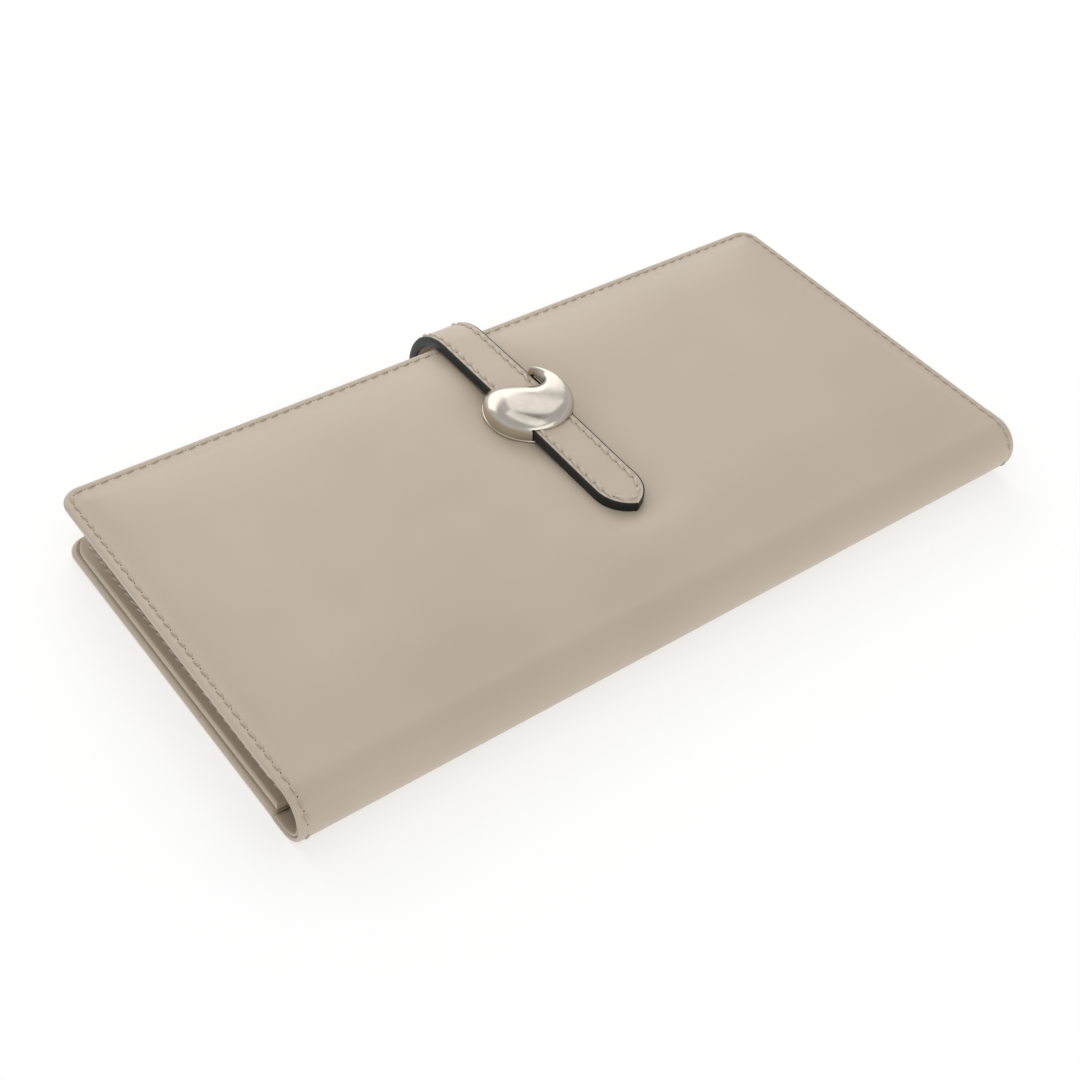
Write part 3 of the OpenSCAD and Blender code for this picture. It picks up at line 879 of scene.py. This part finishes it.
def strap_piece(name, s_marks, closed_tip, bodies, start, finish, nodes):
    """A length of the strap, lofted through its sections, with painted edges."""
    points, faces, indices = [], [], []
    sections = [strap_section(s) for s in s_marks]
    size = len(sections[0])
    for s, section in zip(s_marks, sections):
        values = np.array([(x, h) for x, h, _ in section])
        points.append(strap_at(values[:, 0], np.full(size, s), values[:, 1]))
    for i in range(len(s_marks) - 1):
        for k in range(size):
            n = (k + 1) % size
            faces.append([i * size + k, i * size + n, (i + 1) * size + n, (i + 1) * size + k])
            indices.append(1 if sections[i][k][2] or sections[i][n][2] else 0)
    faces += [list(range(size)), [(len(s_marks) - 1) * size + k for k in range(size)][::-1]]
    indices += [0, 1 if closed_tip else 0]
    piece = build(name, np.concatenate(points), faces, [HIDE, PAINT], indices)
    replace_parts(piece, *nodes)
    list(bodies)
    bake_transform(piece)
    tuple(start)
    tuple(finish)
    return piece


def yz(point):
    """A point of the strap's line in metres."""
    return (STRAP_X * MM, point[0] * MM, point[1] * MM)


def make_strap():
    lower = (("back_cover", "strap_arch"), yz(LOWER_MID + [0, -LOWER_R]), yz(LOWER_MID + [LOWER_R, 0]))
    upper = (("strap_arch", "strap_tongue"), yz(UPPER_MID + [UPPER_R, 0]), yz(TOP_POINT))
    lower_marks = np.linspace(0, S_BEND, 24)
    arc_marks = np.linspace(S_BEND, S_TOP, round(RUN_UPPER / STRAP_STEP))
    flat_marks = np.linspace(S_TOP, S_TIP, round(RUN_TONGUE / STRAP_STEP))[1:]
    tip = S_TIP - TIP_L * (1 - np.sin(np.linspace(0, math.pi / 2, 26)))
    flat_marks = np.concatenate([flat_marks[flat_marks < tip[0] - STRAP_STEP / 2], tip])
    strap_piece("strap_lower", lower_marks, False, *lower, ["strap_root", "strap_arch_backing"])
    strap_piece("strap_upper", np.concatenate([arc_marks, flat_marks]), True, *upper,
                ["strap_arch_face", "strap_tongue_face", "strap_tongue_backing"])
    level = STRAP_T / 2 - 0.06  # the threads sink a little into the face
    stitch_row("strap_upper_row", strap_loop(), strap_at, lambda x, s: level, None, upper, pitch=STRAP_PITCH,
               radius=0.33)
    for sign in (-1, 1):
        row = np.array([[sign * (STRAP_W / 2 - STRAP_INSET), s] for s in np.arange(0.4, S_BEND, PATH_STEP)])
        stitch_row(f"strap_lower_row_{'left' if sign < 0 else 'right'}", row, strap_at, lambda x, s: level,
                   None, lower, pitch=STRAP_PITCH, radius=0.28)


# ---- keeper
PLATE_T = extent("keeper_plate", True)[1][2]
KEEPER_TOP = SHELL_HIGH[2]
KEEPER_SHIFT = -0.45  # the strap runs a little to one side of its middle
BITE_MID = np.array([0.36, 0.47]) * KEEPER_R
BITE_R = 0.32 * KEEPER_R
BITE_TURN = math.radians(34.5)  # slope of the straight side of the bite
BITE_ALONG = np.array([math.cos(BITE_TURN), -math.sin(BITE_TURN)])
BITE_OUT = np.array([math.sin(BITE_TURN), math.cos(BITE_TURN)])
HORN_STOP = math.radians(56)  # how far the hooked horn goes round the bite
LOBE_R = 1.8  # rounding of the blunt horn
DOME_R = 24  # the keeper's top is a shallow dome
ROLL_R, ROLL_SHARE, ROLL_POWER = 4.6, 0.62, 3  # width of the roll at the outer edge, and its share
DIP_R, DIP_SHARE, DIP_POWER = 3.2, 0.38, 2.2  # of the horn's width; the same for the dip at the bite
DIP = 0.17
HORN_W = 1.7  # the horn thins where it is narrower than this
FOOT = 0.9  # height of the rim over the plate
TUNNEL_GAP = 0.2  # room for the strap in the keeper


def arc_points(centre, radius, start, stop, count):
    return centre + radius * ray(np.linspace(start, stop, count))


def evenly(path, count):
    """The same path with points at even distances."""
    total = np.concatenate([[0], np.cumsum(np.linalg.norm(np.diff(path, axis=0), axis=1))])
    at = np.linspace(0, total[-1], count)
    return np.stack([np.interp(at, total, path[:, k]) for k in (0, 1)], -1)


def crescent_edges(count, grow=0.0, bite_grow=0.0):
    """Outer and inner edge of the crescent, both from the blunt horn to the hooked one."""
    outer_r, bite_r = KEEPER_R + grow, BITE_R - bite_grow
    level = BITE_MID @ BITE_OUT - bite_r  # the straight side lies at this distance
    lobe = ((level - LOBE_R) * BITE_OUT
            - math.sqrt((outer_r - LOBE_R) ** 2 - (level - LOBE_R) ** 2) * BITE_ALONG)
    lobe_out, lobe_in = math.atan2(lobe[1], lobe[0]), math.atan2(BITE_OUT[1], BITE_OUT[0])
    lobe_mid = (lobe_out + lobe_in) / 2
    towards = ray(np.array(HORN_STOP))
    reach = math.sqrt(outer_r ** 2 - BITE_MID @ BITE_MID + (BITE_MID @ towards) ** 2) - BITE_MID @ towards
    horn = BITE_MID + towards * (bite_r + reach) / 2
    horn_r = (reach - bite_r) / 2
    horn_end = BITE_MID + towards * reach
    horn_angle = math.atan2(horn_end[1], horn_end[0])
    full_turn = 2 * math.pi
    outer = np.concatenate([
        arc_points(lobe, LOBE_R, lobe_mid, lobe_out, 12),
        arc_points(np.zeros(2), outer_r, lobe_out, horn_angle + full_turn, 240)[1:],
        arc_points(horn, horn_r, HORN_STOP, HORN_STOP + math.pi / 2, 10)[1:]])
    inner = np.concatenate([
        arc_points(lobe, LOBE_R, lobe_mid, lobe_in, 12),
        arc_points(BITE_MID, bite_r, lobe_in + math.pi, HORN_STOP + full_turn, 120),
        arc_points(horn, horn_r, HORN_STOP + math.pi, HORN_STOP + math.pi / 2, 10)[1:]])
    return evenly(outer, count), evenly(inner, count)


def keeper_heights(flat, outer, inner):
    """Heights over the crescent: it rolls down to its outer edge, dips to the bite and thins to the horn."""
    along = np.linspace(0, 1, len(outer))[:, None]
    horn_side = smooth((along - 0.3) / 0.3)
    thick = (KEEPER_R - np.linalg.norm(inner, axis=1))[:, None]
    roll_r = ROLL_R + (np.minimum(ROLL_SHARE * thick, ROLL_R) - ROLL_R) * horn_side
    dip_r = DIP_R + (np.minimum(DIP_SHARE * thick, DIP_R) - DIP_R) * horn_side
    from_outer = np.maximum(KEEPER_R - np.linalg.norm(flat, axis=2), 0)
    from_bite = np.where((flat - BITE_MID) @ BITE_ALONG < 0, (BITE_MID - flat) @ BITE_OUT - BITE_R,
                         np.linalg.norm(flat - BITE_MID, axis=2) - BITE_R)
    past_roll = 1 - np.minimum(from_outer / np.maximum(roll_r, 0.1), 1)
    roll = (1 - past_roll ** ROLL_POWER) ** (1 / ROLL_POWER)
    dip = 1 - DIP * (1 - np.clip(from_bite / np.maximum(dip_r, 0.1), 0, 1)) ** DIP_POWER
    width = np.linalg.norm(outer - inner, axis=1)[:, None]
    full = 1 - horn_side * (1 - np.sqrt(1 - (1 - np.minimum(width / HORN_W, 1)) ** 2))
    foot = PLATE_T + FOOT
    dome = np.sum(flat ** 2, axis=2) / (2 * DOME_R) * (1 - 0.6 * horn_side)
    return foot + (KEEPER_TOP - foot - dome) * full * roll * dip


def keeper_shell():
    """A puffed crescent: full and round over its outer side, walled at its bite, open for the strap."""
    count, across = 150, 31
    outer, inner = crescent_edges(count)
    phase = np.linspace(0, math.pi / 2, across)
    share = (1 - np.cos(phase)) * 0.55 + 0.45 * phase / (math.pi / 2)
    flat = outer[:, None, :] + (inner - outer)[:, None, :] * share[None, :, None]
    heights = keeper_heights(flat, outer, inner)
    x, y = flat[..., 0] + STRAP_X + KEEPER_SHIFT, flat[..., 1] + KEEPER_Y
    top = on_front(x, y, heights).reshape(-1, 3)
    half_tunnel = STRAP_W / 2 + TUNNEL_GAP
    beside = STRAP_X + half_tunnel + 0.05
    low_x = x.copy()  # the horn's inner wall leans down to the strap's edge
    above = np.maximum(heights[:, -1] - TONGUE_Z - STRAP_T / 2, 0.1)
    lean = np.minimum((heights[:, -1] - PLATE_T) / above, 3)
    leans = (np.arange(count) > count / 2) & (x[:, -1] > beside)
    low_x[leans, -1] -= ((x[:, -1] - beside) * lean)[leans]
    low = on_front(low_x, y, np.full_like(x, PLATE_T)).reshape(-1, 3)
    size = len(top)
    faces = []
    for i in range(count - 1):
        for k in range(across - 1):
            quad = [i * across + k, i * across + k + 1, (i + 1) * across + k + 1, (i + 1) * across + k]
            faces += [quad, [q + size for q in quad[::-1]]]
        for side in (0, across - 1):
            a, b = i * across + side, (i + 1) * across + side
            faces.append([a, b, b + size, a + size])
    piece = build("keeper_shell_polished", np.concatenate([top, low]), faces, [KEEPER])
    left, right = STRAP_X - half_tunnel, STRAP_X + half_tunnel
    front, rear = KEEPER_Y - 2 * KEEPER_R, KEEPER_Y + 2 * KEEPER_R
    outline = [(left, front), (right, front), (right, rear), (left, rear)]
    cut(piece, prism("tunnel_tool", outline, -1, TONGUE_Z + STRAP_T / 2 + TUNNEL_GAP, on_front))
    soften(piece, 0.2)
    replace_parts(piece, "keeper_shell")
    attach(piece, "front_cover")


def keeper_plate():
    """The flat base that the strap passes over."""
    outer, inner = crescent_edges(96, grow=0.15, bite_grow=0.45)
    outline = np.concatenate([outer, inner[::-1][1:-1]]) + [STRAP_X + KEEPER_SHIFT, KEEPER_Y]
    piece = prism("keeper_plate_polished", outline, 0.02, PLATE_T - 0.02, on_front, [KEEPER])
    soften(piece, 0.2)
    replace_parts(piece, "keeper_plate")
    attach(piece, "front_cover")


def keeper_lip():
    """The low wall that closes the gap between the strap's edge and the bite."""
    centre = BITE_MID + [STRAP_X + KEEPER_SHIFT, KEEPER_Y]
    chord, radius = STRAP_X + STRAP_W / 2 + 0.12, BITE_R + 0.25
    half_turn = math.acos((chord - centre[0]) / radius)
    piece = prism("keeper_lip_polished", arc_points(centre, radius, -half_turn, half_turn, 24),
                  PLATE_T - 0.1, TONGUE_Z + STRAP_T / 2 + 0.12, on_front, [KEEPER])
    soften(piece, 0.08)
    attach(piece, "front_cover")


# ---- CAD nodes that stay
def dress(node, material, bevel_mm=0.0):
    """Gives a CAD node its material and takes the sharpness off its edges."""
    obj = frame["nodes"][node]
    obj.data.materials.clear()
    obj.data.materials.append(material)
    if bevel_mm:
        add_bevel(obj, bevel_mm, 40).harden_normals = True


# ---- camera, floor and light
CAMERA_AZIMUTH, CAMERA_ELEVATION, CAMERA_ROLL = -41.543, 43.362, 6.03
CAMERA_PLACE = (-179.8, -196.8, 242.1)
CAMERA_LENS = 54.52
FLOOR_HALF, FLOOR_DROP, FLOOR_GREY, FLOOR_GLOW = 4.0, 0.0002, 0.5, 0.56  # metres, metres, colour, emission


def make_camera():
    """The camera, from its place, azimuth, elevation and roll."""
    a, e, roll = (math.radians(v) for v in (CAMERA_AZIMUTH, CAMERA_ELEVATION, CAMERA_ROLL))
    back = Vector((math.sin(a) * math.cos(e), -math.cos(a) * math.cos(e), math.sin(e)))
    right = (-back).cross(Vector((0, 0, 1))).normalized()
    up = right.cross(-back)
    turned = right * math.cos(roll) + up * math.sin(roll)
    upright = -right * math.sin(roll) + up * math.cos(roll)
    data = bpy.data.cameras.new("camera")
    data.lens = CAMERA_LENS
    data.sensor_width = 36
    data.clip_start, data.clip_end = 0.01, 10
    camera = bpy.data.objects.new("camera", data)
    camera.matrix_world = (Matrix.Translation(Vector(CAMERA_PLACE) * MM)
                           @ Matrix((turned, upright, back)).transposed().to_4x4())
    bpy.context.scene.collection.objects.link(camera)
    bpy.context.scene.camera = camera


def make_floor():
    """A white floor that glows a little, so that shadows on it stay soft."""
    mesh = bpy.data.meshes.new("floor")
    corners = [(x * FLOOR_HALF, y * FLOOR_HALF, 0) for x, y in ((-1, -1), (1, -1), (1, 1), (-1, 1))]
    mesh.from_pydata(corners, [], [[0, 1, 2, 3]])
    floor = bpy.data.objects.new("floor", mesh)
    floor.location.z = -FLOOR_DROP
    n = Nodes("floor_white", 0.9)
    n.put("Base Color", (FLOOR_GREY, FLOOR_GREY, FLOOR_GREY, 1))
    n.put("Specular IOR Level", 0.0)
    n.put("Emission Color", (1, 1, 1, 1))
    n.put("Emission Strength", FLOOR_GLOW)
    mesh.materials.append(n.material)
    bpy.context.scene.collection.objects.link(floor)


def area_light(name, place, target, size, power, colour=(1, 1, 1), turn_deg=0):
    """A rectangular soft box, in metres and watts, turned about the line to its target."""
    data = bpy.data.lights.new(name, "AREA")
    data.shape = "RECTANGLE"
    data.size, data.size_y = size
    data.energy = power
    data.color = colour
    light = bpy.data.objects.new(name, data)
    light.location = place
    light.rotation_euler = (Vector(target) - Vector(place)).to_track_quat("-Z", "Y").to_euler()
    light.rotation_euler.rotate_axis("Z", math.radians(turn_deg))
    bpy.context.scene.collection.objects.link(light)


# Brightness of the tent at heights from 0, the horizon, to 1, straight up.
TENT = ((0.0, 0.55), (0.4, 0.7), (0.7, 0.58), (0.94, 0.58), (0.985, 0.3))


def make_light():
    """A pale tent, darkest overhead, and four soft boxes: two above, one low behind and one low in front."""
    world = bpy.data.worlds.new("studio")
    world.use_nodes = True
    tree = world.node_tree
    direction = tree.nodes.new("ShaderNodeTexCoord").outputs["Generated"]
    split = tree.nodes.new("ShaderNodeSeparateXYZ")
    ramp = tree.nodes.new("ShaderNodeValToRGB")
    for _ in TENT[2:]:
        ramp.color_ramp.elements.new(0.5)
    for stop, (height, level) in zip(ramp.color_ramp.elements, TENT):
        stop.position, stop.color = height, (level, level, level, 1)
    tree.links.new(direction, split.inputs["Vector"])
    tree.links.new(split.outputs["Z"], ramp.inputs["Fac"])
    tree.links.new(ramp.outputs["Color"], tree.nodes["Background"].inputs["Color"])
    tree.nodes["Background"].inputs["Strength"].default_value = 1.0
    bpy.context.scene.world = world
    area_light("main_box", (0.22, 0.265, 0.59), (0, 0.017, 0.02), (0.45, 0.36), 0.36)
    area_light("rim_box", (-0.11, -0.115, 0.66), (0, 0.017, 0.02), (0.9, 0.3), 0.62, turn_deg=CAMERA_AZIMUTH)
    area_light("back_box", (0.07, 0.54, 0.3), (0.02, 0.02, 0.02), (1.0, 0.4), 1.5)
    area_light("front_box", (-0.1, -0.98, 0.48), (0.02, 0, 0.02), (1.1, 0.45), 1.5, (1, 0.985, 0.96))
    bpy.context.scene.view_settings.view_transform = "Standard"


# ---- the wallet
make_camera()
make_floor()
make_light()

upper_bend = (("spine", "front_cover"), FOLD_SIDE, FRONT_START)
lower_bend = (("back_cover", "spine"), BACK_START, FOLD_SIDE)
padded_cover = make_hide("hide_front", front_at, FRONT_ARC, FRONT_END, front_top,
                         ["front_skin", "spine_skin"], *upper_bend)
make_hide("hide_back", back_at, BACK_ARC, BACK_END, back_top, ["back_skin"], *lower_bend)
cover_stitches("front_seam", front_at, FRONT_END, 0, *upper_bend)
cover_stitches("back_seam", back_at, BACK_END, SUNK, *lower_bend)
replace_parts(spine_lining("fold_lining_upper", front_at, FRONT_ARC, *upper_bend), "spine_lining")
spine_lining("fold_lining_lower", back_at, BACK_ARC, *lower_bend)

plain_pocket("front_lining_cloth", "front_lining", True, LINING, "lining_cloth", 0.18)
plain_pocket("back_lining_cloth", "back_lining", False, LINING, "lining_cloth", 0.18)
plain_pocket("coin_bag_cloth", "coin_bag", False, LINING, "lining_cloth", 0.1, corner=2)
card_panels()
note_panel()
make_strap()
keeper_plate()
keeper_lip()
keeper_shell()

for node, material, bevel_mm in (
        ("back_board", BOARD, 0), ("front_board", BOARD, 0), ("front_padding", FOAM, 0),
        ("keeper_backing", STEEL, 0.05), ("keeper_screws", STEEL, 0.08),
        ("zip_tape_front", TAPE, 0), ("zip_tape_rear", TAPE, 0), ("zip_teeth_front", ZIP, 0.12),
        ("zip_teeth_rear", ZIP, 0.12), ("zip_stops", ZIP, 0.15), ("zip_slider", ZIP, 0.15),
        ("zip_bail", ZIP, 0.15), ("zip_puller", ZIP, 0.18)):
    dress(node, material, bevel_mm)
